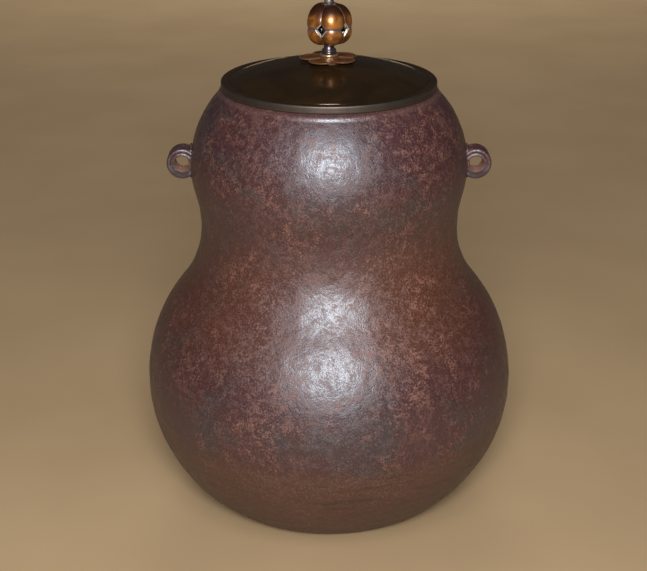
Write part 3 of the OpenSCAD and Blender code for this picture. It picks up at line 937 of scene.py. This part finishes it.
def makeNeck(look):
    bm = bmesh.new()
    low, high = neckLow.z, neckHigh.z
    half = look["flangeThick"] / 2
    coveFoot = look["waist"] + look["cove"]
    tip = startLine(bm, look["hole"], low)
    tip = lineTo(bm, tip, look["flange"] - half, low, pieces=2)
    tip = arcTo(bm, tip, (look["flange"] - half, low + half), pi, pieces=12)
    tip = lineTo(bm, tip, coveFoot, low + 2 * half)
    tip = arcTo(bm, tip, (coveFoot, low + 2 * half + look["cove"]), -pi / 2, pieces=8)
    tip = lineTo(bm, tip, look["waist"], low + look["beadHeight"] - look["bead"])
    tip = arcTo(bm, tip, (look["waist"], low + look["beadHeight"]), pi, pieces=12)
    tip = lineTo(bm, tip, look["throat"], low + look["throatHeight"], pieces=3)
    tip = lineTo(bm, tip, look["top"], high, pieces=3)
    tip = lineTo(bm, tip, look["hole"], high)
    lineTo(bm, tip, look["hole"], low)
    turnProfile(bm, look["segments"])
    finishPiece(
        bm, "neckSpool", "knob", [spoolPaint], ["knob_neck"], sharp=radians(50))


makeNeck(neck)


# Knob: two rows of five hollow petals, pierced by a diamond where four of them meet

knob = {
    "petals": amberCopper["petals"],
    "turn": amberCopper["turn"],
    "upper": {
        "ball": 0.0067,                       # radius of the round that a petal is cut from
        "tall": 0.0081,                       # height of that round over its middle
        "out": 0.0037,                        # distance of its middle from the axis
        "height": 0.0021,                     # and from the waist line
        "side": 1,                            # over the waist line
        "core": 0.0012,                       # how far the petal stops from the axis
        "bevel": 0.0005,                      # width of the bright bevel filed round a diamond
        "sliver": 0.00006,                    # vertices that the cuts leave this close are merged
    },
    "lower": {
        "ball": 0.0060,
        "tall": 0.0060,
        "out": 0.0043,
        "height": -0.0019,
        "side": -1,
        "core": 0.0024,
        "bevel": 0.0009,
        "sliver": 0.00004,
    },
    "holeWidth": 0.0019,                      # from a border between petals to the diamond's side corner
    "holeHeight": 0.0021,                     # from the waist line to the diamond's top corner
    "gap": 0.00006,
    "waistGap": 0.00004,
    "bevelSlope": 0.8,
    "wall": 0.0011,
    "edge": 0.00022,
    "ringSteps": (112, 72),
}


def fileBevel(bm, look, row, corner, slope):  # leans the strip along a cut in towards the petal's middle
    strip = row["bevel"]
    middle = Vector((row["out"], 0, row["height"]))
    cut(bm, corner - slope * strip, slope, clear=False)
    for face in bm.faces:
        if slope.dot(corner - face.calc_center_median()) < strip:
            face.material_index = 1
    for vert in bm.verts:
        into = strip - slope.dot(corner - vert.co)
        if into > 0:
            vert.co += (middle - vert.co).normalized() * into * look["bevelSlope"]


def petalShell(look, row):
    bm = bmesh.new()
    side = row["side"]
    around, upward = look["ringSteps"]
    bmesh.ops.create_uvsphere(bm, u_segments=around, v_segments=upward, radius=row["ball"])
    top = [vert for vert in bm.verts if vert.co.z > 0]
    bmesh.ops.scale(bm, verts=top, vec=(1, 1, row["tall"] / row["ball"]))
    bmesh.ops.translate(bm, verts=bm.verts, vec=(row["out"], 0, row["height"]))
    cut(bm, (0, 0, side * look["waistGap"]), (0, 0, -side))
    cut(bm, (row["core"], 0, 0), (-1, 0, 0))
    trimSector(bm, look["petals"], look["gap"])
    corner = Vector((0, 0, side * look["holeHeight"]))
    drop = Vector((0, 0, side / look["holeHeight"]))
    for facing in borderFacings(look["petals"]):  # each cut makes a quarter of a diamond
        slope = (facing / look["holeWidth"] - drop).normalized()
        cut(bm, corner, slope)
        fileBevel(bm, look, row, corner, slope)
    bmesh.ops.remove_doubles(bm, verts=bm.verts, dist=row["sliver"])
    roundAxis(bm, look)
    bmesh.ops.translate(bm, verts=bm.verts, vec=(0, 0, waistHeight))
    return bm


def makePetals(look, row, name, node):
    bm = petalShell(look, row)
    paints = [petalPaint, cutPaint, lidPaint, lidPaint]
    piece = finishPiece(bm, name, "knob", paints, [node])
    wall = piece.modifiers.new("wall", "SOLIDIFY")
    wall.thickness = look["wall"]
    wall.offset = -1
    wall.material_offset_rim = 1
    wall.material_offset = 2                  # painted shade: the inside takes the dark lid bronze
    edge = piece.modifiers.new("brightEdge", "BEVEL")
    edge.width = look["edge"]
    edge.segments = 3
    edge.angle_limit = radians(50)
    edge.material = 1


makePetals(knob, knob["upper"], "upperPetals", "knob_upper_shell")
makePetals(knob, knob["lower"], "lowerPetals", "knob_lower_shell")


# Finial: a drooping scalloped calyx under a pointed bud

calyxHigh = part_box("finial_calyx")[1]
budLow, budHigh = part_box("finial_bud")

finial = {
    "petals": 5,
    "turn": knob["turn"],
    "petalRadius": 0.0015,                    # of the calyx's lobes
    "petalRing": 0.0022,
    "gap": 0,
    "rings": 14,
    "segments": 56,
    "droop": 0.00060,
    "rimRise": 0.00010,
    "rimWidth": 0.0003,
    "wall": 0.00050,
    "foot": 0.0005,                           # depth of the bud's flat foot below its middle
    "shoulder": radians(55),                  # where the bud's round turns up into its point
    "hollow": 0.00245,                        # radius of the hollow sweep up to the point
    "hollowTurn": radians(40),
    "budSegments": 64,
}


def makeCalyx(look):
    bm = bmesh.new()
    petalDisc(bm, look)
    reach = look["petalRing"] + look["petalRadius"]
    for vert in bm.verts:
        bead = exp(-(depthInside(look, vert.co) / look["rimWidth"]) ** 2)
        bow = look["droop"] * (vert.co.xy.length / reach) ** 2
        vert.co.z = calyxHigh.z - look["rimRise"] - bow + look["rimRise"] * bead
    roundAxis(bm, look)
    cleanShape(bm)
    bmesh.ops.solidify(bm, geom=bm.faces[:], thickness=look["wall"])
    bmesh.ops.recalc_face_normals(bm, faces=bm.faces)
    finishPiece(bm, "finialCalyx", "knob", [palePaint], ["finial_calyx"])


def makeBud(look):
    bm = bmesh.new()
    radius = budHigh.x
    middle = Vector((0, budLow.z + look["foot"]))
    low = asin(look["foot"] / radius)
    facing = Vector((cos(look["shoulder"]), sin(look["shoulder"])))
    tip = startLine(bm, 0, budLow.z)
    tip = lineTo(bm, tip, radius * cos(low), budLow.z, pieces=3)
    tip = arcTo(bm, tip, middle, look["shoulder"] + low, pieces=20)
    hollow = middle + facing * (radius + look["hollow"])
    tip = arcTo(bm, tip, hollow, -look["hollowTurn"], pieces=10)
    lineTo(bm, tip, 0, budHigh.z, pieces=2)
    turnProfile(bm, look["budSegments"])
    finishPiece(
        bm, "finialBud", "lid", [palePaint], ["finial_bud"], sharp=radians(50))


makeCalyx(finial)
makeBud(finial)


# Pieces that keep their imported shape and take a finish

keptFinishes = {
    "lid_spigot_ring": lidPaint,
    "under_washer": seatPaint,
    "stem_rod": palePaint,
    "knob_spacer_sleeve": palePaint,
    "singing_iron": stripPaint,
    "lacquer_bed": lacquerPaint,
}

for name, node in nodes.items():
    for start, paint in keptFinishes.items():
        if name.startswith(start):
            node.data.materials.clear()
            node.data.materials.append(paint)
print("kept pieces finished")


# Stage: plain floor, a frontal softbox, a lamp overhead, a weak fill behind and a quiet surround

stage = {
    "floorRadius": 4.0,
    "floorSegments": 96,
    "floor": (0.38, 0.262, 0.143, 1),
    "floorWarm": (0.35, 0.239, 0.129, 1),
    "surround": (0.030, 0.028, 0.026, 1),
    "aim": Vector((0, 0, 0.12)),              # where every lamp points
}

lamps = {                                     # a lamp that isn't mirrored leaves no streak on the lid
    "softbox": {"place": (0, -0.80, 0.515), "size": 0.32, "watts": 10.8, "mirrored": True},
    "overhead": {"place": (0, -0.76, 1.08), "size": 0.55, "watts": 4.0, "mirrored": True},
    "backFill": {"place": (0, 2.20, 0.75), "size": 1.2, "watts": 27, "mirrored": False},
}


def makeFloor(look):
    bm = bmesh.new()
    bmesh.ops.create_circle(
        bm, cap_ends=True, segments=look["floorSegments"], radius=look["floorRadius"])
    mesh = bpy.data.meshes.new("floor")
    bm.to_mesh(mesh)
    bm.free()
    paint, place = newPaint("paleFloor")
    colour = place.cloud(9, 3, 0.5).step(0.3, 0.7).tint(look["floor"], look["floorWarm"])
    finishPaint(place, {"Base Color": colour, "Roughness": 0.85})
    mesh.materials.append(paint)
    floor = bpy.data.objects.new("floor", mesh)
    scene.collection.objects.link(floor)


def makeLamp(name, look):
    lamp = bpy.data.lights.new(name, "AREA")
    lamp.shape = "DISK"
    lamp.size = look["size"]
    lamp.energy = look["watts"]
    piece = bpy.data.objects.new(name, lamp)
    piece.location = look["place"]
    piece.rotation_euler = (stage["aim"] - piece.location).to_track_quat("-Z", "Y").to_euler()
    piece.visible_camera = False
    piece.visible_glossy = look["mirrored"]
    scene.collection.objects.link(piece)


def makeSurround(look):
    world = bpy.data.worlds.new("surround")
    world.use_nodes = True
    world.node_tree.nodes["Background"].inputs["Color"].default_value = look["surround"]
    scene.world = world


makeFloor(stage)
for name, look in lamps.items():
    makeLamp(name, look)
makeSurround(stage)
print("stage set")
